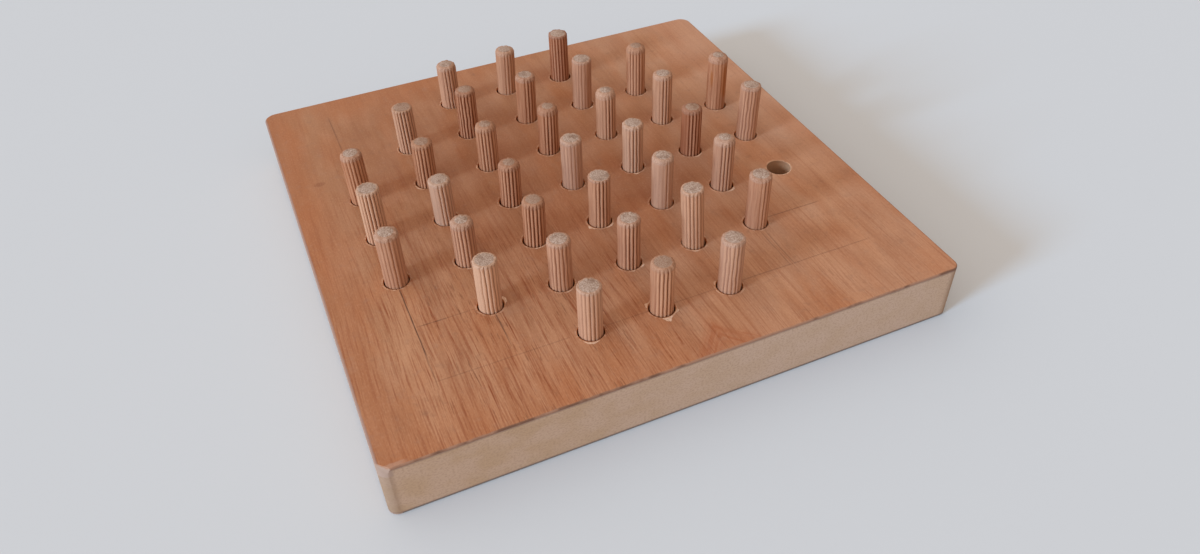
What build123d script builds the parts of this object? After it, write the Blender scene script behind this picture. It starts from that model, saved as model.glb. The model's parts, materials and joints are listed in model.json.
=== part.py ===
from build123d import *
from math import atan2, cos, degrees, pi, sin, tan
import os

os.makedirs("parts", exist_ok=True)

# The board, in millimetres: a square cut from veneered fibreboard, with a grid of blind holes
PITCH = 25.0             # from hole to hole, along a row and along a column
EDGE_MARGIN = 25.0       # from the outermost holes' centres to the board's edge
BOARD_THICKNESS = 22.0   # over both veneers
CORNER_RADIUS = 4.0      # of the upright corners
ARRIS = 0.5              # taken off the sharp edges with sandpaper
FLOOR_LEFT = 4.5         # wood that is left under the deepest hole

# The pegs: lengths of fluted dowel, chamfered at both ends
PEG_DIAMETER = 8.0       # over the lands between the flutes
PEG_LENGTH = 35.0
PEG_CHAMFER = 1.0
FLUTES = 14
FLUTE_DEPTH = 0.4
FLUTE_WIDTH = 0.5        # across the mouth of a flute
TWIST_STEP = 37.0        # degrees by which each peg was dropped in turned further than the last

# How a peg sits in its hole
HOLE_PLAY = 0.5          # air all round a centred peg
WALL_GAP = 0.12          # air that is left where a peg at its full lean is nearest to the wall
SEAT_GAP = 0.05          # air under a peg's foot
LEAN_HEADING = -24.0     # the way the pegs lean, in degrees from +X

# The holes were drilled by hand, so their depths differ. Each row, from the back one to the
# front one, gives its columns and how much shallower than the deepest hole each hole is.
COLUMNS = "abcdefg"
ROWS = [
    ("cde", [1.5, 2.0, 3.5]),
    ("bcdef", [1.5, 3.0, 3.0, 4.0, 4.0]),
    ("abcdefg", [3.5, 1.0, 1.5, 2.5, 3.0, 4.0, 6.0]),
    ("abcdefg", [4.5, 0.5, 0.0, 3.0, 2.5, 2.5, 5.5]),
    ("abcdefg", [4.0, 0.5, 0.5, 2.5, 3.5, 4.0, 3.5]),
    ("bcdef", [2.5, 2.0, 2.0, 6.0, 4.0]),
    ("cde", [2.5, 2.5, 3.5]),
]
EMPTY_HOLE = "g3"

# The pegs that lean, as a share of the most they can. A minus sign leans the other way.
LEANS = {
    "d7": 0.6, "b6": -0.2, "c6": 0.25, "d6": 0.45, "e6": 0.25,
    "a5": -0.3, "b5": 0.35, "c5": 0.2, "d5": 0.4,
    "b4": -0.25, "c4": 0.6, "g4": 0.25,
    "c3": 0.5, "d3": 0.2, "e2": -0.7,
}

BOARD_SIDE = (len(COLUMNS) - 1) * PITCH + 2 * EDGE_MARGIN
DEEPEST_HOLE = BOARD_THICKNESS - FLOOR_LEFT
PEG_RADIUS = PEG_DIAMETER / 2
HOLE_RADIUS = PEG_RADIUS + HOLE_PLAY
HALF_LAND_ANGLE = pi / FLUTES


def hole_depths():
    """The depth of each hole below the playing face, by the name of its square."""
    depths = {}
    for row, (columns, steps) in enumerate(ROWS):
        for column, step in zip(columns, steps):
            depths[f"{column}{len(ROWS) - row}"] = DEEPEST_HOLE - step
    return depths


def centre(square):
    """The place of a square's centre. The grid's middle is over the origin."""
    column, row = COLUMNS.index(square[0]), int(square[1:]) - 1
    return (
        (column - (len(COLUMNS) - 1) / 2) * PITCH,
        (row - (len(ROWS) - 1) / 2) * PITCH,
    )


def panel():
    """The square panel before it is drilled, its corners rounded and its sharp edges eased."""
    blank = extrude(RectangleRounded(BOARD_SIDE, BOARD_SIDE, CORNER_RADIUS), BOARD_THICKNESS)
    return chamfer(blank.faces().filter_by(Axis.Z).edges(), ARRIS)


def bore(square, depth):
    """What the drill takes out for one flat-bottomed hole, standing on the hole's floor."""
    x, y = centre(square)
    cut = Cylinder(HOLE_RADIUS, depth, align=(Align.CENTER, Align.CENTER, Align.MIN))
    return Pos(x, y, BOARD_THICKNESS - depth) * cut


def dowel():
    """A fluted peg standing on the origin: flat lands, with a V-shaped flute at each corner."""
    lands = RegularPolygon(PEG_RADIUS, FLUTES, major_radius=False)
    rod = extrude(lands, PEG_LENGTH)
    rod = chamfer(rod.faces().filter_by(Axis.Z).edges(), PEG_CHAMFER)
    root = PEG_RADIUS - FLUTE_DEPTH
    corner = PEG_RADIUS / cos(HALF_LAND_ANGLE)
    beyond = 2 * corner - root
    flute = Polygon((root, 0), (beyond, -FLUTE_WIDTH), (beyond, FLUTE_WIDTH), align=None)
    return rod - PolarLocations(0, FLUTES) * extrude(flute, PEG_LENGTH)


def seat(square, depth, turn):
    """Where a peg stands: on its hole's floor, leaning within its play."""
    x, y = centre(square)
    reach = LEANS.get(square, 0) * (HOLE_PLAY - WALL_GAP)
    tilt = atan2(2 * reach, depth - PEG_CHAMFER)
    foot = -tan(tilt) * (depth + PEG_CHAMFER) / 2
    foot_radius = (PEG_RADIUS - PEG_CHAMFER) / cos(HALF_LAND_ANGLE)
    height = SEAT_GAP + abs(sin(tilt)) * foot_radius
    floor = Pos(x, y, BOARD_THICKNESS - depth) * Rot(0, 0, LEAN_HEADING)
    return floor * Pos(foot, 0, height) * Rot(0, degrees(tilt), 0) * Rot(0, 0, turn)


depths = hole_depths()
nodes = {"board": panel() - [bore(square, depth) for square, depth in depths.items()]}

peg = dowel()
for count, (square, depth) in enumerate(depths.items()):
    if square != EMPTY_HOLE:
        nodes[f"peg_{square}"] = seat(square, depth, count * TWIST_STEP) * peg

for name, shape in nodes.items():
    export_step(shape, f"parts/{name}.step")
print(len(nodes), "nodes, board", BOARD_SIDE, "mm square, pegs stand",
      PEG_LENGTH - DEEPEST_HOLE, "to", PEG_LENGTH - min(depths.values()), "mm proud")
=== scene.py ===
import json
import random
from math import atan2, cos, exp, pi, radians, sin, tau

import bmesh
import bpy
from mathutils import Matrix, Vector, noise


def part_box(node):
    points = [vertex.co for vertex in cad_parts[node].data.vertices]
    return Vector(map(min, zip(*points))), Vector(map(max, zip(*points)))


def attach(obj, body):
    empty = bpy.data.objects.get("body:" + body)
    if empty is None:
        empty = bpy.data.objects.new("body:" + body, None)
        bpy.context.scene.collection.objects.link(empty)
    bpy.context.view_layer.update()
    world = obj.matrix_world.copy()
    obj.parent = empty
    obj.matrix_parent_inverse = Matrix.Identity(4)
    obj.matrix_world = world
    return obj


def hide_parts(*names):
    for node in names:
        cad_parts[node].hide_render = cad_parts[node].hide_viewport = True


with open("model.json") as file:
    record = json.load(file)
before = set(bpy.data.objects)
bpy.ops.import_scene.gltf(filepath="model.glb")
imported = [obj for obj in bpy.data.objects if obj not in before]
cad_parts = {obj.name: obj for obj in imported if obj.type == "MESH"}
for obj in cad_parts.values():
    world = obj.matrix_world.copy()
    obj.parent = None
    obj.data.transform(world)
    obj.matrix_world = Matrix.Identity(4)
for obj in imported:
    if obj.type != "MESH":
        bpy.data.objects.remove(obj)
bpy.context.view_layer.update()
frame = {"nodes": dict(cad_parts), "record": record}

MM = 0.001

# The board, from the frame and from the real sheet goods
BOARD_LOW, BOARD_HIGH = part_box("board")
BOARD_SIDE = BOARD_HIGH.x - BOARD_LOW.x
FACE = BOARD_HIGH.z
VENEER = 0.9 * MM
FRONT_CORNER = 3.2 * MM
BACK_CORNER = 4.8 * MM
CORNER_STEPS = 12
ARRIS = 0.6 * MM
ARRIS_STEPS = 4

# The near left corner was knocked off at a slant in sanding: the cut's middle, and where it faces
KNOCK_AT = Vector((-98.15, -98.15, 22)) * MM
KNOCK_FACING = Vector((-0.66, -0.66, 0.35))
KNOCK_LINE = (KNOCK_AT.x + KNOCK_AT.y) / MM   # the cut is where x and y add up to less

# The holes: one under each peg, and the empty one, which is the record's bore
MOUNTS = {mount["name"]: mount for mount in frame["record"]["mounts"]}
EMPTY_HOLE = MOUNTS["empty_hole"]
HOLE_RADIUS = EMPTY_HOLE["dims"]["r_mm"] * MM
EMPTY_SQUARE = "g3"
HOLE_SIDES = 64
SEAT_GAP = 0.05 * MM
PITCH = 25 * MM
COLUMNS = "abcdefg"
MIDDLE_ROW = 4

# The drill tore the veneer round every rim: by how much, by how much more at times, and how deep
RIM_TEAR = 0.06 * MM
RIM_TEAR_SPREAD = 0.30 * MM
RIM_DEPTH = 0.06 * MM

# The larger chips at each hole's rim: heading in degrees, size in mm, and half width in degrees
CHIPS = {
    "c1": [(-112, 1.1, 26)],
    "d1": [(-92, 2.2, 16), (-37, 1.2, 14), (141, 1.2, 12)],
    "e1": [(138, 0.9, 10), (-170, 0.5, 20)],
    "b2": [(8, 1.2, 22)],
    "c2": [(-79, 0.5, 20), (-26, 0.4, 14)],
    "d2": [(-47, 1.1, 12), (-98, 0.5, 12)],
    "e2": [(-112, 0.8, 18)],
    "a3": [(-119, 0.4, 16)],
    "b3": [(-98, 0.5, 16)],
    "c3": [(-100, 0.5, 28)],
    "d3": [(-152, 1.2, 16), (-100, 0.35, 40), (-53, 0.8, 22)],
    "f3": [(-154, 0.6, 10), (-66, 0.9, 24)],
    "g3": [(-80, 0.3, 50), (5, 0.2, 26)],
    "c4": [(-88, 0.5, 20)],
    "e4": [(-96, 0.8, 14)],
    "f4": [(-78, 0.7, 26)],
    "b5": [(-148, 0.8, 20)],
    "c5": [(175, 0.6, 14)],
    "d5": [(-103, 0.5, 16)],
    "g5": [(-115, 0.6, 24)],
    "e6": [(-64, 0.6, 18)],
    "f6": [(-90, 0.5, 26)],
}

# The pegs
FLUTES = 18
SPOKES_PER_FLUTE = 6
FLUTE_DEPTH = 0.50 * MM
FLUTE_SHARES = (1.0, 0.32, 0.06, 0.0, 0.06, 0.32)   # of that depth, from one flute to the next
PEG_RADIUS = 4 * MM
SHAFT_RINGS = 12
SHOULDER = 0.9 * MM                # from the worn rim of an end to the first full ring
RIM_TURNS = (0, 25, 50, 70, 90)    # the rings round a worn rim, in degrees
CROWN_SHARES = (0.12, 0.45, 0.8)   # the rings on a crowned end, from its rim to its middle
LEAST_WORN = 0.7                   # how worn the outer ring of a rim is, where 1 is the most
RAGGED = 0.16 * MM                 # how rough the worn ends are
UNROUND = 0.03 * MM                # how far the shafts are from round
WANDER = 0.03                      # how far the flutes stray to the side, in radians
WAVY_WANDER = 0.09
WAVY_FLUTES = ("e1", "b2", "c7", "c2", "c6", "g4")
DARK_ENDS = ("c4", "c3", "d5", "c5", "b5", "b6", "c6", "f6", "f4", "d1")
STAINED_PEG = "g5"
# The flute mark holds dirt and painted shade in the grooves and a painted highlight on the ridges
PEG_MARKS = ("flute", "end_grain", "worn", "tone", "greyness", "end_tone", "stain")

# How brown the wood of each peg is, from 0 for the palest. The browner tones of c4 and c3 are
# partly painted shade, from the shadow of their neighbours
PEG_TONES_AND_SHADE = {
    0.05: ("b2", "a4"),
    0.24: ("b6", "b4", "e2", "c1", "e4", "f5"),
    0.32: ("d7", "d3", "e5", "e3", "c7", "d1"),
    0.42: ("f6", "e6", "b3", "f3", "b5", "a3", "c2", "c5", "e1", "d4"),
    0.52: ("a5", "g5", "f2"),
    0.60: ("d2", "c3", "d6", "g4"),
    0.70: ("c6", "d5", "c4"),
    0.86: ("e7", "f4"),
}

# How grey some pegs have become
GREYNESS = {
    0.26: ("d4", "b4", "e1"),
    0.22: ("e3",),
    0.15: ("a3", "g4", "b3", "e6", "f3"),
    0.10: ("f2", "c2", "c1", "e4", "d2", "c7", "b6"),
}

# How deep the flutes of some pegs are, beside the usual depth
FLUTE_STRENGTHS = {
    0.4: ("e6", "g5", "d4"),
    0.6: ("e3", "a3"),
    0.75: ("c1", "e1", "g4", "c2"),
    1.1: ("a4", "d6", "c5", "d1"),
    1.3: ("b6", "e5", "f5", "c4", "e4", "f3", "c3", "d2", "f4", "c6", "b5", "d3", "c7", "d5"),
}
USUAL_STRENGTH = 0.9
# How strong the painted highlight on the ridges between the flutes is
RIDGE_HIGHLIGHT = 0.3

# On the side of a peg that faces the window the flutes are made faint, shallower and paler, as
# painted light for the window light that fills them: the share of their depth that is left, which
# way that side faces, over how wide a turn they fade, and how far it reaches each way, in degrees
FAINT_SHARE = 0.2
FAINT_FADE = 7
WINDOW_SIDE = 180
FAINT_REACH = {
    70: ("d6", "e3", "f2", "d7"),
    60: ("c7", "e5", "f5", "b4"),
    45: ("a5", "d5", "e4", "f4", "d3", "f3", "b2", "d2"),
    30: ("b6", "b5", "d1", "c5", "a3"),
}
USUAL_REACH = 15

# How far in the rim of each peg's end is worn round, in mm
END_ROUNDING = {
    0.35: ("d3",),
    0.55: ("e7", "b6", "e6", "a4", "b2", "e2", "c1"),
    0.85: ("b4", "d4", "e4", "g4", "c2", "d2", "f2", "d1", "e1"),
    1.15: ("c7", "d7", "c6", "d6", "a5", "b5", "f5", "f4", "a3", "c3", "e3"),
    1.60: ("f6", "c5", "d5", "e5", "g5", "c4", "b3", "f3"),
}

# The stained peg's two streaks: heading and reach in degrees, lowest and highest in mm, and how
# dark. Each fades in and out over a few millimetres.
STAINS = [(-58, 34, 16, 31.5, 1.0), (208, 13, 20.5, 29.5, 0.7)]
STAIN_FADE_IN = 3
STAIN_FADE_OUT = 2

# Marks that were ruled in pencil before drilling: across or along, where, from and to, in mm, and
# how dark
PENCIL_LINES = [
    ("along", -75.4, -30, -62, 0.80),
    ("along", -75.6, -60, -74, 0.35),
    ("along", -75.2, 61, 86, 0.34),
    ("along", -49.8, -54, -70, 0.66),
    ("along", 48.8, -56, -74, 0.30),
    ("along", 50.5, -56, -75, 0.30),
    ("across", -49.6, -74, -66, 0.50),
    ("across", -49.6, -68, -54, 0.25),
    ("across", -74.6, -75, -32, 0.24),
    ("across", -74.6, -20, 20, 0.22),
    ("across", -49.3, 55, 77, 0.38),
    ("across", -74.6, 30, 80, 0.30),
]

# Darker patches of the face, which are painted shade among the pegs and towards the back left, and
# one small knot; and paler patches: middle x and y, reach along x and y, in mm, and how strong
SHADE_AND_KNOT_SPOTS = [
    (30, -10, 24, 15, 0.32),
    (-45, 55, 46, 42, 0.16),
    (-88, 41, 2.4, 1.4, 0.45),
]
FADED = [(-77, -62, 7, 46, 0.34), (-63, -88, 5, 22, 0.22)]

# The photograph's view
CAMERA_AT = Vector((-101.1, -267.6, 233.6)) * MM
CAMERA_HEADING = radians(-22.5051)
CAMERA_TILT = radians(90 - 42.3122)
CAMERA_ROLL = radians(-1.9037)
LENS = 28.01
SENSOR = 36.0

# The light: a low window on the left, and a room that is darker on the right
WINDOW_STRENGTH = 3.2
WINDOW_COLOUR = (0.42, 0.69, 1.0)
WINDOW_ELEVATION = 19
WINDOW_HEADING = 12
WINDOW_SPREAD = 13
ROOM_STRENGTH = 0.87
ROOM_COLOUR = (1.0, 0.92, 0.855, 1.0)
ROOM_FALL = 0.60
TABLE_REACH = 4.0

# How meshes are closed and shaded
MERGE_WITHIN = 1e-7
SMOOTH_BELOW = radians(35)
LEVEL_FROM = 0.9999   # the upward share of a face's normal from which the face counts as level


class Wire:
    """A value or colour that runs through a network. Python's operators on it add Math nodes."""

    def __init__(self, network, socket):
        self.network = network
        self.socket = socket

    def maths(self, operation, *values):
        return self.network.node("Math", {"operation": operation}, dict(enumerate(values)))

    def __add__(self, other):
        return self.maths("ADD", self, other)

    def __sub__(self, other):
        return self.maths("SUBTRACT", self, other)

    def __rsub__(self, other):
        return self.maths("SUBTRACT", other, self)

    def __mul__(self, other):
        return self.maths("MULTIPLY", self, other)

    def __truediv__(self, other):
        return self.maths("DIVIDE", self, other)

    def __pow__(self, other):
        return self.maths("POWER", self, other)

    def __abs__(self):
        return self.maths("ABSOLUTE", self)

    __radd__ = __add__
    __rmul__ = __mul__

    def larger(self, other):
        return self.maths("MAXIMUM", self, other)

    def fraction(self):
        return self.maths("FRACT", self)

    def rise(self, start, end):
        """A smooth step from 0 at start to 1 at end. It falls where end is below start."""
        settings = {"interpolation_type": "SMOOTHSTEP"}
        inputs = {"Value": self, "From Min": start, "From Max": end}
        return self.network.node("MapRange", settings, inputs)


class Network:
    """Shader nodes, each fed by numbers, colours or other nodes."""

    def __init__(self, tree):
        self.nodes = tree.nodes
        self.links = tree.links

    def node(self, kind, settings=None, inputs=None, out=0):
        """Adds a node, sets it up, feeds its sockets and gives back one of its outputs."""
        node = self.nodes.new(f"ShaderNode{kind}")
        for name, value in (settings or {}).items():
            setattr(node, name, value)
        for socket, value in (inputs or {}).items():
            self.feed(node.inputs[socket], value)
        return Wire(self, node.outputs[out])

    def feed(self, socket, value):
        if isinstance(value, Wire):
            self.links.new(value.socket, socket)
        else:
            socket.default_value = value

    def parts(self, vector):
        return [self.node("SeparateXYZ", inputs={0: vector}, out=axis) for axis in "XYZ"]

    def vector(self, x, y, z):
        return self.node("CombineXYZ", inputs={0: x, 1: y, 2: z})

    def noise(self, spot, detail):
        return self.node("TexNoise", inputs={"Vector": spot, "Scale": 1.0, "Detail": detail})

    def clouds(self, x, y, z, grain, detail=2.0):
        """Noise from 0 to 1 whose patches are grain = (x, y, z) millimetres in size."""
        return self.noise(self.vector(x / grain[0], y / grain[1], z / grain[2]), detail)

    def sheet(self, x, y, seed, grain, detail=2.0):
        """Noise that is the same at every height, so it goes straight through a thin sheet."""
        return self.noise(self.vector(x / grain[0], y / grain[1], seed), detail)

    def attribute(self, name):
        return self.node("Attribute", {"attribute_name": name}, out="Fac")

    def blend(self, share, first, second):
        """first where share is 0, second where it is 1."""
        return self.node("Mix", {"data_type": "RGBA"}, {0: share, 6: first, 7: second}, out=2)


class Finish(Network):
    """A material, made of one shader and the nodes that feed it."""

    def __init__(self, name, **constants):
        self.material = bpy.data.materials.new(name)
        self.material.use_nodes = True
        super().__init__(self.material.node_tree)
        self.shader = self.nodes["Principled BSDF"]
        for socket, value in constants.items():
            self.shader.inputs[socket.replace("_", " ")].default_value = value

    def place(self):
        """The spot on the object that is being shaded, in millimetres."""
        spot = self.node("TexCoord", out="Object")
        return self.node("VectorMath", {"operation": "SCALE"}, {0: spot, "Scale": 1 / MM})

    def use(self, colour, height, depth, strength, roughness=None):
        """Feeds the shader its colour, its relief and, where it varies, its roughness."""
        self.feed(self.shader.inputs["Base Color"], colour)
        inputs = {"Height": height, "Distance": depth, "Strength": strength}
        self.feed(self.shader.inputs["Normal"], self.node("Bump", inputs=inputs))
        if roughness is not None:
            self.feed(self.shader.inputs["Roughness"], roughness)
        return self.material


def rgb(red, green, blue):
    """A shader colour from the 0 to 255 figures of an image editor."""
    def linear(value):
        value = value / 255
        return value / 12.92 if value <= 0.04045 else ((value + 0.055) / 1.055) ** 2.4
    return (linear(red), linear(green), linear(blue), 1.0)


def hole_reach(x, y):
    """How far a spot is from the middle of the nearest place in the grid of holes."""
    pitch = PITCH / MM
    off_x, off_y = (((place / pitch + 0.5).fraction() - 0.5) * pitch for place in (x, y))
    return (off_x * off_x + off_y * off_y) ** 0.5


def is_drilled(x, y):
    """1 over the part of the grid that has holes, and 0 over its corners and the border."""
    return (abs(x) + abs(y)).rise(114, 110) * abs(x).larger(abs(y)).rise(90, 85)


def is_empty_hole(x, y):
    """1 round the hole that has no peg, and 0 elsewhere."""
    middle_x, middle_y = (place / MM for place in EMPTY_HOLE["pos_m"][:2])
    return abs(x - middle_x).larger(abs(y - middle_y)).rise(9, 8)


def pencil(x, y, wobble):
    """How much of the ruled pencil lines shows, from 0 to 1."""
    half_width, softness, fade = 0.10, 0.27, 2.5
    total = 0.0
    for way, where, start, end, darkness in PENCIL_LINES:
        off, run = (x - where, y) if way == "along" else (y - where, x)
        low, high = min(start, end), max(start, end)
        band = abs(off + wobble * 0.5).rise(half_width + softness, half_width)
        span = run.rise(low - fade, low + fade) * run.rise(high + fade, high - fade)
        total = band * span * darkness + total
    return total


def veneer_ground(finish, x, y, across, bands, patches, grainy):
    """The veneer's bands, clouds, patches, stains and painted shade, under its fine grain."""
    right = x.rise(-50, 60)
    # Painted shade: the veneer is darker towards the back left, where the room light falls off
    far = (y - x).rise(-190, 190)
    middle_shade = (x * x + y * y).rise(75 * 75, 20 * 20)
    streaks = finish.sheet(across, y, 6.9, (1.9, 60), detail=1.0)
    pale = finish.blend(far, rgb(188, 133, 97), rgb(168, 113, 75))
    deep = finish.blend(far, rgb(173, 116, 81), rgb(152, 97, 61))
    depth = (bands * 0.55 + streaks * 0.45).rise(0.36, 0.64) - 0.5
    colour = finish.blend(depth * (0.6 + grainy * 0.4) + 0.5, pale, deep)
    cool = patches.rise(0.36, 0.64) * (0.15 + right * 0.35)
    colour = finish.blend(cool, colour, rgb(180, 133, 103))
    clouds = finish.sheet(x, y, 5.9, (13, 42))
    colour = finish.blend(clouds.rise(0.45, 0.64) * 0.26, colour, rgb(176, 98, 48))
    blotches = finish.sheet(x, y, 8.8, (7, 18))
    colour = finish.blend(blotches.rise(0.50, 0.68) * 0.18, colour, rgb(144, 84, 50))
    colour = finish.blend(blotches.rise(0.50, 0.34) * 0.14, colour, rgb(206, 152, 116))
    outward = abs(x).larger(abs(y)) + (bands - 0.5) * 60 + (patches - 0.5) * 30
    colour = finish.blend(outward.rise(74, 100) * (0.50 - right * 0.35), colour, rgb(170, 100, 57))
    # Painted shade among the pegs, darkest in the middle of the board
    colour = finish.blend(middle_shade * 0.30, colour, rgb(146, 84, 50))
    colour = finish.blend(x.rise(70, 90) * y.rise(-35, 10) * 0.35, colour, rgb(200, 150, 120))
    # Painted shade among the pegs and towards the back left, one knot, then paler patches
    for spots, tint in ((SHADE_AND_KNOT_SPOTS, rgb(128, 70, 40)), (FADED, rgb(200, 146, 108))):
        for middle_x, middle_y, wide, long, share in spots:
            off_x, off_y = (x - middle_x) / wide, (y - middle_y) / long
            patch = (off_x * off_x + off_y * off_y + (patches - 0.5) * 0.6).rise(1.2, 0.2)
            colour = finish.blend(patch * share, colour, tint)
    return colour


def peaked_figure(finish, x, y, patches, colour):
    """Nested peaks of darker wood that point away from the front edge."""
    inside = (patches - 0.5) * 7 - (y + 84) - abs(x - 11.4) * 1.25
    stripes = finish.sheet(inside, x, 2.8, (1.3, 16), detail=1.0).rise(0.42, 0.62)
    figure = inside.rise(-1, 5) * (1 - inside.rise(7, 14) * 0.5)
    return finish.blend(figure * (0.34 + stripes * 0.36), colour, rgb(160, 86, 48))


def surface_marks(finish, x, y, patches, hairs, colour):
    """What lies on the grain: dust, pale fibres lifted round the rims, and pencil lines."""
    dust = finish.sheet(x, y, 3.1, (0.5, 1.1))
    colour = finish.blend(dust.rise(0.50, 0.74) * 0.12, colour, rgb(116, 64, 38))
    colour = finish.blend(dust.rise(0.50, 0.26) * 0.12, colour, rgb(214, 164, 128))
    scuffs = finish.sheet(x, y, 4.4, (1.2, 1.2))
    reach = hole_reach(x, y) + (scuffs - 0.5) * 0.8
    round_rim = reach.rise(HOLE_RADIUS / MM + 0.95, HOLE_RADIUS / MM + 0.55)
    lifted = round_rim * scuffs.rise(0.45, 0.58) * is_drilled(x, y)
    colour = finish.blend(lifted * 0.36, colour, rgb(216, 172, 140))
    marks = pencil(x, y, patches - 0.5) * hairs.rise(0.2, 0.5)
    return finish.blend(marks, colour, rgb(66, 34, 22))


def sanded_edges(finish, x, y, z, colour):
    """The veneer's sanded edges, and the knocked corner, where almost all of it is gone."""
    ragged = finish.sheet(x, y, 9.4, (2.6, 2.6), detail=3.0) - 0.5
    beside = (y + ragged * 1.2).rise(-98.1, -98.8) * x.rise(-90, -94)
    knocked = (x + y + ragged).rise(KNOCK_LINE + 0.1, KNOCK_LINE - 0.3)
    colour = finish.blend(beside * 0.55, colour, rgb(182, 140, 116))
    colour = finish.blend(knocked, colour, rgb(166, 134, 114))

    # Brown, darker along some stretches and towards the glue line, and darker and greyer by the
    # table, where the bottom veneer's edge is partly painted contact shade
    half = FACE / MM / 2
    level = abs(z - half) + ragged * 0.3
    bare = 1 - knocked
    dark_stretch = finish.sheet(x, y, 6.6, (8, 8), detail=3.0).rise(0.46, 0.62)
    edge = finish.blend(dark_stretch * x.rise(-97, -90), rgb(160, 116, 91), rgb(118, 80, 60))
    edge = finish.blend(level.rise(half - 0.6, half - 0.85) * 0.3, edge, rgb(94, 66, 54))
    # The bottom veneer's edge, darkened partly as painted contact shade
    edge = finish.blend(z.rise(2, 1), edge, rgb(120, 106, 96))
    colour = finish.blend(level.rise(half, half - 0.22) * bare, colour, edge)
    left = (x + ragged * 0.4).rise(-99.0, -99.5)
    return finish.blend(left * bare * 0.8, colour, rgb(150, 118, 104))


def veneer_finish():
    """Orange-brown veneer: fine lines and open pores that run along Y and wander a little."""
    finish = Finish("veneer", Specular_IOR_Level=0.3)
    x, y, z = finish.parts(finish.place())
    drift = finish.sheet(x, y, 2.3, (60, 150), detail=1.0) - 0.5
    waver = finish.sheet(x, y, 7.9, (14, 38), detail=1.0) - 0.5
    across = x + drift * 7 + waver
    bands = finish.sheet(across, y, 4.6, (10, 240))
    patches = finish.sheet(x, y, 1.7, (15, 26), detail=3.0)
    lines = finish.sheet(across, y, 5.3, (0.75, 24), detail=1.0)
    fine_lines = finish.sheet(across, y, 7.3, (0.55, 11), detail=1.0)
    hairs = finish.sheet(across, y, 8.1, (0.34, 9), detail=1.0)
    dashes = finish.sheet(across, y, 3.4, (0.36, 5), detail=0.0)
    crowding = finish.sheet(across, y, 6.2, (6, 30), detail=1.0)

    # The grain is strongest at the front, and weaker on the right and along the left edge
    grainy = (y + x * 0.4).rise(45, -88)
    grainy = grainy * (x.rise(25, -15) * 0.62 + 0.38) * (x.rise(-95, -78) * 0.5 + 0.5)

    colour = veneer_ground(finish, x, y, across, bands, patches, grainy)
    colour = peaked_figure(finish, x, y, patches, colour)
    grain = lines.rise(0.54, 0.70) * (0.12 + grainy * 0.38)
    grain = grain + fine_lines.rise(0.55, 0.70) * grainy * 0.44
    colour = finish.blend(grain, colour, rgb(136, 66, 30))
    dark_hairs = hairs.rise(0.50, 0.78) * (0.06 + grainy * 0.22)
    colour = finish.blend(dark_hairs, colour, rgb(138, 72, 36))
    colour = finish.blend(hairs.rise(0.44, 0.26) * grainy * 0.20, colour, rgb(206, 154, 116))
    pores = dashes.rise(0.66, 0.76) * crowding.rise(0.42, 0.60) * (0.06 + grainy * 0.94)
    pores = pores * (x.rise(-80, -64) * 0.65 + 0.35)
    colour = finish.blend(pores * 0.46, colour, rgb(92, 44, 20))
    colour = surface_marks(finish, x, y, patches, hairs, colour)
    colour = sanded_edges(finish, x, y, z, colour)
    height = hairs * 0.3 - pores - grain
    roughness = 0.52 + bands * 0.12 + pores * 0.2
    return finish.use(colour, height, depth=0.04 * MM, strength=0.5, roughness=roughness)


def torn_finish():
    """Bare wood where the veneer broke out round a rim: palest where it broke out far."""
    finish = Finish("torn_wood", Roughness=0.85, Specular_IOR_Level=0.05)
    x, y, z = finish.parts(finish.place())
    fibres = finish.clouds(x, y, z, (0.25, 1.2, 0.4), detail=3.0)
    colour = finish.blend(fibres.rise(0.3, 0.7), rgb(196, 150, 118), rgb(228, 190, 160))
    reach = hole_reach(x, y) + (fibres - 0.5) * 0.3
    near = reach.rise(HOLE_RADIUS / MM + 0.34, HOLE_RADIUS / MM + 0.12)
    empty = is_empty_hole(x, y)
    rim = finish.blend(empty, rgb(184, 114, 68), rgb(176, 134, 104))
    colour = finish.blend(near * 0.85, colour, rim)
    wall = finish.blend(empty, rgb(216, 122, 62), rgb(164, 122, 92))
    colour = finish.blend(z.rise(FACE / MM - 0.10, FACE / MM - 0.3), colour, wall)
    return finish.use(colour, fibres, depth=0.1 * MM, strength=0.6)


def fibreboard_finish():
    """The sawn and sanded fibreboard: pinkish beige, faintly mottled, with a fine speckle."""
    finish = Finish("fibreboard", Specular_IOR_Level=0.2)
    x, y, z = finish.parts(finish.place())
    mottle = finish.clouds(x, y, z, (11, 11, 7), detail=4.0)
    speckle = finish.clouds(x, y, z, (0.8, 0.8, 0.6), detail=3.0)
    colour = finish.blend(mottle.rise(0.36, 0.64), rgb(189, 156, 131), rgb(183, 149, 119))
    colour = finish.blend(x.rise(-70, 30) * 0.35, colour, rgb(198, 174, 158))
    colour = finish.blend(speckle.rise(0.44, 0.68) * 0.36, colour, rgb(150, 116, 92))
    # Painted shade: the fibreboard is darker round the rounded corners of the board
    corners = (abs(x) + abs(y)).rise(195.2, 197.6)
    colour = finish.blend(corners * 0.55, colour, rgb(136, 106, 84))
    beside_cut = (x + y).rise(KNOCK_LINE + 0.7, KNOCK_LINE - 0.1)
    beside_cut = beside_cut * (z + mottle * 2).rise(18.8, 19.4)
    colour = finish.blend(beside_cut, colour, rgb(166, 136, 118))
    glue = (z + mottle * 0.8 - x.rise(-95, -99)).rise(20.5, 21.5) + z.rise(1.5, 0.9)
    colour = finish.blend(glue * 0.65, colour, rgb(120, 92, 80))
    height = speckle + mottle * 0.5
    roughness = 0.78 + speckle * 0.15
    return finish.use(colour, height, depth=0.08 * MM, strength=0.35, roughness=roughness)


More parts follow.
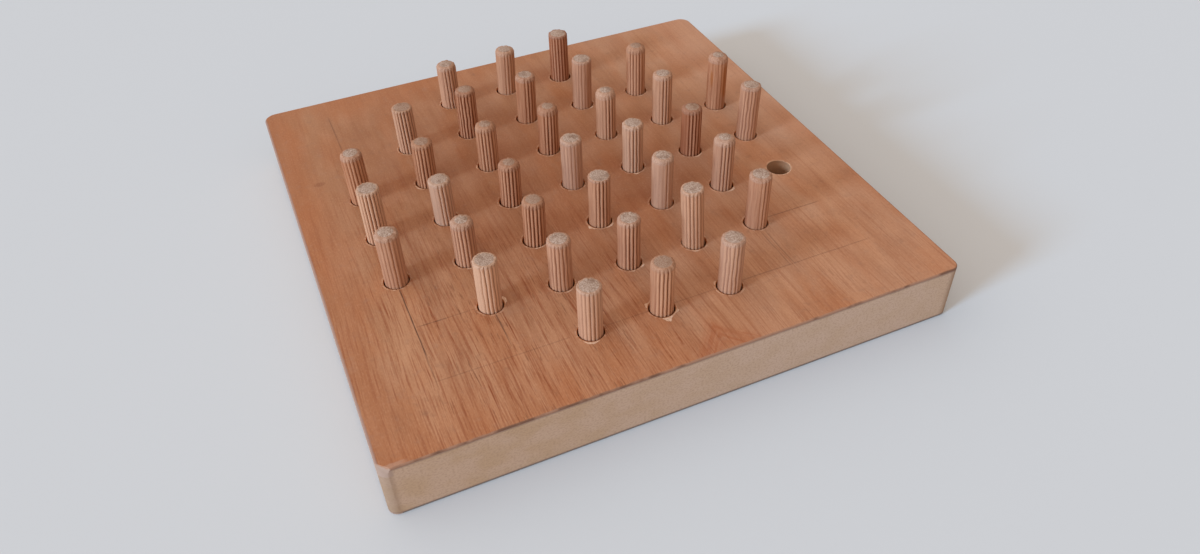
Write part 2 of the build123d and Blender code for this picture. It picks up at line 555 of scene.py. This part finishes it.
def bore_finish():
    """The drilled wall of a hole: browner than the sawn edge, with the drill's fine rings."""
    finish = Finish("drilled_fibreboard", Roughness=0.9, Specular_IOR_Level=0.05)
    x, y, z = finish.parts(finish.place())
    rings = finish.clouds(x, y, z, (4, 4, 0.35))
    colour = finish.blend(rings.rise(0.3, 0.7), rgb(200, 134, 96), rgb(176, 110, 76))
    colour = finish.blend(is_empty_hole(x, y) * 0.8, colour, rgb(168, 128, 96))
    return finish.use(colour, rings, depth=0.05 * MM, strength=0.4)


def peg_finish():
    """Bare beech dowel: pale, streaked lengthwise, dark in its flutes with dirt and painted shade,
    with a painted highlight on the ridges between them, greyish at its worn ends.
    """
    finish = Finish("dowel", Specular_IOR_Level=0.05)
    x, y, z = finish.parts(finish.place())
    marks = [finish.attribute(name) for name in PEG_MARKS]
    flute, end_grain, worn, tone, greyness, end_tone, stain = marks
    streaks = finish.clouds(x, y, z, (0.8, 0.8, 16), detail=3.0)
    flecks = finish.clouds(x, y, z, (0.3, 0.3, 1.8), detail=1.0)
    fuzz = finish.clouds(x, y, z, (0.4, 0.4, 0.4), detail=3.0)
    blotches = finish.clouds(x, y, z, (3, 3, 5))
    drips = finish.clouds(x, y, z, (1.1, 1.1, 22))
    colour = finish.blend(streaks.rise(0.35, 0.68), rgb(177, 121, 88), rgb(156, 99, 68))
    colour = finish.blend(tone.rise(0.5, 0.0) * 0.8, colour, rgb(199, 154, 123))
    colour = finish.blend(tone.rise(0.5, 1.0), colour, rgb(142, 82, 54))
    colour = finish.blend(greyness * (flecks * 0.8 + 0.6), colour, rgb(186, 157, 137))
    uneven = stain + (drips - 0.5) * 0.7 * stain.rise(0.0, 0.3)
    colour = finish.blend(uneven.rise(0.1, 0.8) * 0.75, colour, rgb(160, 92, 46))
    colour = finish.blend(flecks.rise(0.62, 0.8) * 0.3, colour, rgb(118, 74, 48))
    # A painted highlight on the ridges between the flutes
    colour = finish.blend(flute.rise(0.0, -RIDGE_HIGHLIGHT) * 0.45, colour, rgb(215, 160, 124))
    # Dirt and painted shade in the flutes
    colour = finish.blend(flute.rise(0.22, 1.25) * 0.88, colour, rgb(98, 38, 14))
    end_colour = finish.blend(fuzz.rise(0.34, 0.66), rgb(188, 161, 143), rgb(148, 117, 97))
    end_colour = finish.blend(blotches.rise(0.52, 0.70) * 0.5, end_colour, rgb(118, 86, 66))
    end_colour = finish.blend(end_tone * 0.5, end_colour, rgb(146, 106, 80))
    colour = finish.blend(end_grain.larger(worn * 0.42), colour, end_colour)
    height = streaks * 0.6 + fuzz * 0.5
    roughness = 0.74 + streaks * 0.12
    return finish.use(colour, height, depth=0.08 * MM, strength=0.5, roughness=roughness)


def floor_finish():
    """A plain pale table top."""
    pale = rgb(205, 205, 205)
    return Finish("table", Roughness=0.8, Specular_IOR_Level=0.0, Base_Color=pale).material


def finished(name, bm, *materials):
    """Makes a named piece of a bmesh, with its rounded stretches shaded smooth."""
    bmesh.ops.remove_doubles(bm, verts=bm.verts, dist=MERGE_WITHIN)
    bmesh.ops.recalc_face_normals(bm, faces=bm.faces)
    mesh = bpy.data.meshes.new(name)
    bm.to_mesh(mesh)
    bm.free()
    for material in materials:
        mesh.materials.append(material)
    mesh.shade_smooth()
    mesh.set_sharp_from_angle(angle=SMOOTH_BELOW)
    piece = bpy.data.objects.new(name, mesh)
    bpy.context.scene.collection.objects.link(piece)
    return piece


def column(bm, sides, levels, place):
    """A closed column of rings. place(vert, spoke, level) moves each vertex of a ring."""
    spokes = bm.verts.layers.int.new("spoke")
    ring = bmesh.ops.create_circle(bm, segments=sides, radius=1.0)["verts"]
    for vert in ring:
        vert[spokes] = round(atan2(vert.co.y, vert.co.x) / tau * sides) % sides
    foot = ring
    for count, level in enumerate(levels):
        if count:
            below = set(ring)
            edges = [edge for edge in bm.edges if below.issuperset(edge.verts)]
            grown = bmesh.ops.extrude_edge_only(bm, edges=edges)["geom"]
            ring = [item for item in grown if isinstance(item, bmesh.types.BMVert)]
        for vert in ring:
            place(vert, vert[spokes], level)
    for rim in (foot, ring):
        bmesh.ops.contextual_create(bm, geom=rim)
    bm.verts.layers.int.remove(spokes)
    return bm


def holes():
    """Each hole by its square: centre x, centre y and the height of its floor."""
    places = {}
    for node in frame["nodes"]:
        if node.startswith("peg_"):
            square = node.removeprefix("peg_")
            x = (COLUMNS.index(square[0]) - (len(COLUMNS) - 1) / 2) * PITCH
            y = (int(square[1:]) - MIDDLE_ROW) * PITCH
            places[square] = (x, y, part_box(node)[0].z - SEAT_GAP)
    x, y, middle = EMPTY_HOLE["pos_m"]
    places[EMPTY_SQUARE] = (x, y, middle - EMPTY_HOLE["dims"]["length_mm"] * MM / 2)
    return places


def rim_reach(square, angle, roll):
    """How far the veneer is torn back from a hole's rim, at an angle round it."""
    reach = RIM_TEAR + RIM_TEAR_SPREAD * roll.random() ** 3
    for heading, size, half_width in CHIPS.get(square, []):
        off = turned(angle, heading) / radians(half_width)
        reach += size * MM * exp(-off ** 2) * roll.uniform(0.75, 1.1)
    return reach


def filled_holes(bottom, tear):
    """A shape that fills every hole, down to its floor or to bottom. With tear, its rims flare."""
    bm = bmesh.new()
    angles = [spoke / HOLE_SIDES * tau for spoke in range(HOLE_SIDES)]
    above = FACE + 2 * MM
    for square, (x, y, floor) in holes().items():
        foot = max(floor, bottom)
        if tear:
            roll = random.Random(square)
            reach = [rim_reach(square, angle, roll) for angle in angles]
            levels = [(foot, 0), (FACE - RIM_DEPTH, 0), (FACE, 1), (above, 1)]
        else:
            reach = [0] * HOLE_SIDES
            levels = [(foot, 0), (above, 0)]

        def place(vert, spoke, level):
            height, flare = level
            angle = angles[spoke]
            radius = HOLE_RADIUS + reach[spoke] * flare
            vert.co = (radius * cos(angle), radius * sin(angle), height)

        hole = column(bmesh.new(), HOLE_SIDES, levels, place)
        bmesh.ops.recalc_face_normals(hole, faces=hole.faces)
        bmesh.ops.translate(hole, verts=hole.verts, vec=(x, y, 0))
        mesh = bpy.data.meshes.new("hole")
        hole.to_mesh(mesh)
        hole.free()
        bm.from_mesh(mesh)
        bpy.data.meshes.remove(mesh)
    return bm


def panel():
    """The whole board as one rounded square, before it is drilled."""
    bm = bmesh.new()
    bmesh.ops.create_cube(bm, size=1.0)
    bmesh.ops.scale(bm, verts=bm.verts, vec=(BOARD_SIDE, BOARD_SIDE, FACE))
    bmesh.ops.translate(bm, verts=bm.verts, vec=(0, 0, FACE / 2))
    bevel = {"affect": "EDGES", "profile": 0.5, "material": -1}
    upright = [edge for edge in bm.edges if abs(edge.verts[0].co.z - edge.verts[1].co.z) > MM]
    for side, radius in ((-1, FRONT_CORNER), (1, BACK_CORNER)):
        pair = [edge for edge in upright if edge.is_valid and edge.verts[0].co.y * side > 0]
        bmesh.ops.bevel(bm, geom=pair, offset=radius, segments=CORNER_STEPS, **bevel)
    level = [edge for edge in bm.edges if abs(edge.verts[0].co.z - edge.verts[1].co.z) < MM / 10]
    bmesh.ops.bevel(bm, geom=level, offset=ARRIS, segments=ARRIS_STEPS, **bevel)
    return bm


def cut_off(bm, spot, facing):
    """Takes away what lies beyond a plane, and closes the cut."""
    geometry = bm.verts[:] + bm.edges[:] + bm.faces[:]
    cut = bmesh.ops.bisect_plane(
        bm, geom=geometry, dist=MERGE_WITHIN, plane_co=spot, plane_no=facing, clear_outer=True
    )["geom_cut"]
    rim = [item for item in cut if isinstance(item, bmesh.types.BMEdge)]
    bmesh.ops.contextual_create(bm, geom=rim)


def slice_of_panel(bottom, top):
    """The panel between two heights, closed at both cuts, and without its knocked corner."""
    bm = panel()
    if bottom > BOARD_LOW.z:
        cut_off(bm, (0, 0, bottom), (0, 0, -1))
    if top < FACE:
        cut_off(bm, (0, 0, top), (0, 0, 1))
    if top > FACE / 2:
        cut_off(bm, KNOCK_AT, KNOCK_FACING)
    return bm


def drill(piece, holes_mesh, wall):
    """Takes the holes out of a piece. The cut faces get the wall's material."""
    cutter = finished("cutter", holes_mesh, wall)
    cut = piece.modifiers.new("drill", "BOOLEAN")
    cut.operation = "DIFFERENCE"
    cut.solver = "EXACT"
    cut.material_mode = "TRANSFER"
    cut.object = cutter
    shape = piece.evaluated_get(bpy.context.evaluated_depsgraph_get())
    mesh = bpy.data.meshes.new_from_object(shape)
    piece.modifiers.clear()
    piece.data = mesh
    mesh.name = piece.name
    mesh.set_sharp_from_angle(angle=SMOOTH_BELOW)
    for face in mesh.polygons:
        face.use_smooth = abs(face.normal.z) < LEVEL_FROM
    bpy.data.objects.remove(cutter)


def make_board():
    """The three layers of the board: fibreboard between two sheets of veneer."""
    veneer, torn = veneer_finish(), torn_finish()
    edge, bore = fibreboard_finish(), bore_finish()
    top = finished("top_veneer", slice_of_panel(FACE - VENEER, FACE), veneer)
    drill(top, filled_holes(FACE - 2 * VENEER, tear=True), torn)
    core = finished("core", slice_of_panel(VENEER, FACE - VENEER), edge)
    drill(core, filled_holes(0, tear=False), bore)
    bottom = finished("bottom_veneer", slice_of_panel(0, VENEER), veneer)
    for piece, slot in ((top, "veneer"), (core, "fibreboard"), (bottom, "veneer")):
        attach(piece, "board")
        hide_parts("board")


def standing(node):
    """How a peg stands in the frame: its foot, the way it leans and its length."""
    corners = {tuple(round(c, 6) for c in vert.co) for vert in frame["nodes"][node].data.vertices}
    corners = [Vector(corner) for corner in corners]
    middle = sum(corners, Vector()) / len(corners)
    upper = [corner for corner in corners if corner.z > middle.z]
    lean = (sum(upper, Vector()) / len(upper) - middle).normalized()
    reach = [(corner - middle).dot(lean) for corner in corners]
    return middle + lean * min(reach), lean, max(reach) - min(reach)


def turned(heading, middle):
    """How far a heading is from a middle one, given in degrees: from -pi to pi."""
    return (heading - radians(middle) + pi) % tau - pi


def stained(heading, height):
    """How stained the one stained peg is, at a heading round it and a height up it."""
    total = 0.0
    for middle, reach, low, high, darkness in STAINS:
        fade_in = min(max((height / MM - low) / STAIN_FADE_IN, 0), 1)
        fade_out = min(max((high - height / MM) / STAIN_FADE_OUT, 0), 1)
        across = exp(-(turned(heading, middle) / radians(reach)) ** 4)
        total = max(total, fade_in * fade_out * across * darkness)
    return total


def trait(table, square, usual=None):
    """The value that a table of values and their squares gives for one peg."""
    return next((value for value, squares in table.items() if square in squares), usual)


def faint_toward_window(heading, reach):
    """How deep the flutes are at a heading, as a share of their full depth, faint towards the
    window as painted light.
    """
    inside = radians(reach) - abs(turned(heading, WINDOW_SIDE))
    return FAINT_SHARE + (1 - FAINT_SHARE) / (1 + exp(inside / radians(FAINT_FADE)))


def make_peg(node, material):
    """One fluted dowel peg, in place of its plain solid."""
    square = node.removeprefix("peg_")
    roll = random.Random(square)
    foot, lean, length = standing(node)
    inset = trait(END_ROUNDING, square) * MM
    drop = inset * roll.uniform(1.1, 1.5)
    crown = roll.uniform(0.05, 0.2) * MM + inset * 0.15
    sides = FLUTES * SPOKES_PER_FLUTE
    phase = Vector((roll.uniform(0, 50), roll.uniform(0, 50), 0))
    strength = trait(FLUTE_STRENGTHS, square, USUAL_STRENGTH)
    faint_reach = trait(FAINT_REACH, square, USUAL_REACH)
    wander = WAVY_WANDER if square in WAVY_FLUTES else WANDER
    depths = [FLUTE_DEPTH * strength * roll.uniform(0.55, 1.1) for _ in range(FLUTES)]
    tone = trait(PEG_TONES_AND_SHADE, square) + roll.uniform(-0.05, 0.05)
    greyness = trait(GREYNESS, square, 0.0)
    end_tone = float(square in DARK_ENDS)

    # Rings up the peg: height, how far in from the full radius, how worn and whether end grain
    eased = [
        (drop * (1 - sin(turn)), inset * (1 - cos(turn)), LEAST_WORN + (1 - LEAST_WORN) * sin(turn))
        for turn in map(radians, RIM_TURNS)
    ]
    shaft = length - 2 * drop
    levels = [(height, inward, worn, 1.0) for height, inward, worn in reversed(eased)]
    levels.append((drop + SHOULDER, 0.0, 0.0, 0.0))
    for count in range(1, SHAFT_RINGS):
        levels.append((drop + shaft * count / SHAFT_RINGS, 0.0, 0.0, 0.0))
    levels.append((length - drop - SHOULDER, 0.0, 0.0, 0.0))
    for height, inward, worn in eased:
        levels.append((length - crown - height, inward, worn, 0.0))
    for share in CROWN_SHARES:
        inward = inset + (PEG_RADIUS - inset) * share
        levels.append((length - crown * (1 - share) ** 2, inward, 1.0, 1.0))
    levels.sort(key=lambda level: level[0])

    bm = bmesh.new()
    marks = {name: bm.verts.layers.float.new(name) for name in PEG_MARKS}

    def place(vert, spoke, level):
        height, inward, worn, end_grain = level
        flute, side = divmod(spoke, SPOKES_PER_FLUTE)
        if side >= SPOKES_PER_FLUTE / 2:
            flute = (flute + 1) % FLUTES
        angle = (spoke / sides + 0.5 / FLUTES) * tau
        # The flutes are faint on the side that faces the window, as painted light
        here = faint_toward_window(angle, faint_reach)
        share = FLUTE_SHARES[side]
        radius = min(PEG_RADIUS - inward, PEG_RADIUS - depths[flute] * share * here)
        way = Vector((cos(angle), sin(angle), height / MM / 6))
        radius += (noise.noise(way * 2.2 + phase) * 2 - 1) * UNROUND
        up = Vector((angle * 3, height / MM / 4, 0))
        angle += noise.noise(up + phase) * wander * (1 - worn)
        spot = Vector((radius * cos(angle), radius * sin(angle), height))
        if worn > LEAST_WORN:
            rough = noise.noise(spot / MM + phase) * RAGGED
            spot += Vector((cos(angle), sin(angle), 1)) * rough
        spot.z = min(max(spot.z, 0), length)
        vert.co = spot
        # A painted highlight on the ridges, and dirt and painted shade in the grooves, fainter on
        # the window side as painted light
        ridge_highlight = (1 - share) * RIDGE_HIGHLIGHT * min(strength, 1)
        vert[marks["flute"]] = (share * strength - ridge_highlight) * here * (1 - worn)
        vert[marks["end_grain"]] = end_grain
        vert[marks["worn"]] = worn
        vert[marks["tone"]] = tone
        vert[marks["greyness"]] = greyness
        vert[marks["end_tone"]] = end_tone
        vert[marks["stain"]] = stained(angle, height) if square == STAINED_PEG else 0.0

    column(bm, sides, levels, place)
    stand = Vector((0, 0, 1)).rotation_difference(lean).to_matrix().to_4x4()
    bmesh.ops.transform(bm, matrix=Matrix.Translation(foot) @ stand, verts=bm.verts)
    piece = finished(node.replace("peg", "fluted_peg"), bm, material)
    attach(piece, node)
    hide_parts(node)


def make_stage():
    """The pale table under the board."""
    bm = bmesh.new()
    bmesh.ops.create_grid(bm, x_segments=1, y_segments=1, size=TABLE_REACH)
    floor = finished("table", bm, floor_finish())


def make_lights():
    """Low, cool window light from the left, and warm even light that fades towards the right."""
    lamp = bpy.data.lights.new("window", "SUN")
    lamp.energy = WINDOW_STRENGTH
    lamp.angle = radians(WINDOW_SPREAD)
    lamp.color = WINDOW_COLOUR
    window = bpy.data.objects.new("window", lamp)
    bpy.context.scene.collection.objects.link(window)
    window.rotation_euler = (0, radians(WINDOW_ELEVATION - 90), radians(WINDOW_HEADING))
    world = bpy.data.worlds.new("room")
    world.use_nodes = True
    room = Network(world.node_tree)
    sky = world.node_tree.nodes["Background"]
    sky.inputs["Color"].default_value = ROOM_COLOUR
    ray_x = room.parts(room.node("TexCoord", out="Generated"))[0]
    room.feed(sky.inputs["Strength"], ROOM_STRENGTH - ray_x * ROOM_STRENGTH * ROOM_FALL)
    bpy.context.scene.world = world


def make_camera():
    """The photograph's camera, from its fitted place, heading, tilt and roll."""
    camera = bpy.data.objects.new("camera", bpy.data.cameras.new("camera"))
    bpy.context.scene.collection.objects.link(camera)
    turn = Matrix.Rotation(CAMERA_HEADING, 4, "Z") @ Matrix.Rotation(CAMERA_TILT, 4, "X")
    roll = Matrix.Rotation(CAMERA_ROLL, 4, "Z")
    camera.matrix_world = Matrix.Translation(CAMERA_AT) @ turn @ roll
    camera.data.sensor_width = SENSOR
    camera.data.lens = LENS
    bpy.context.scene.camera = camera


make_camera()
make_lights()
make_stage()
make_board()
dowel = peg_finish()
for node in sorted(frame["nodes"]):
    if node.startswith("peg_"):
        make_peg(node, dowel)

bpy.context.scene.view_settings.view_transform = "Standard"
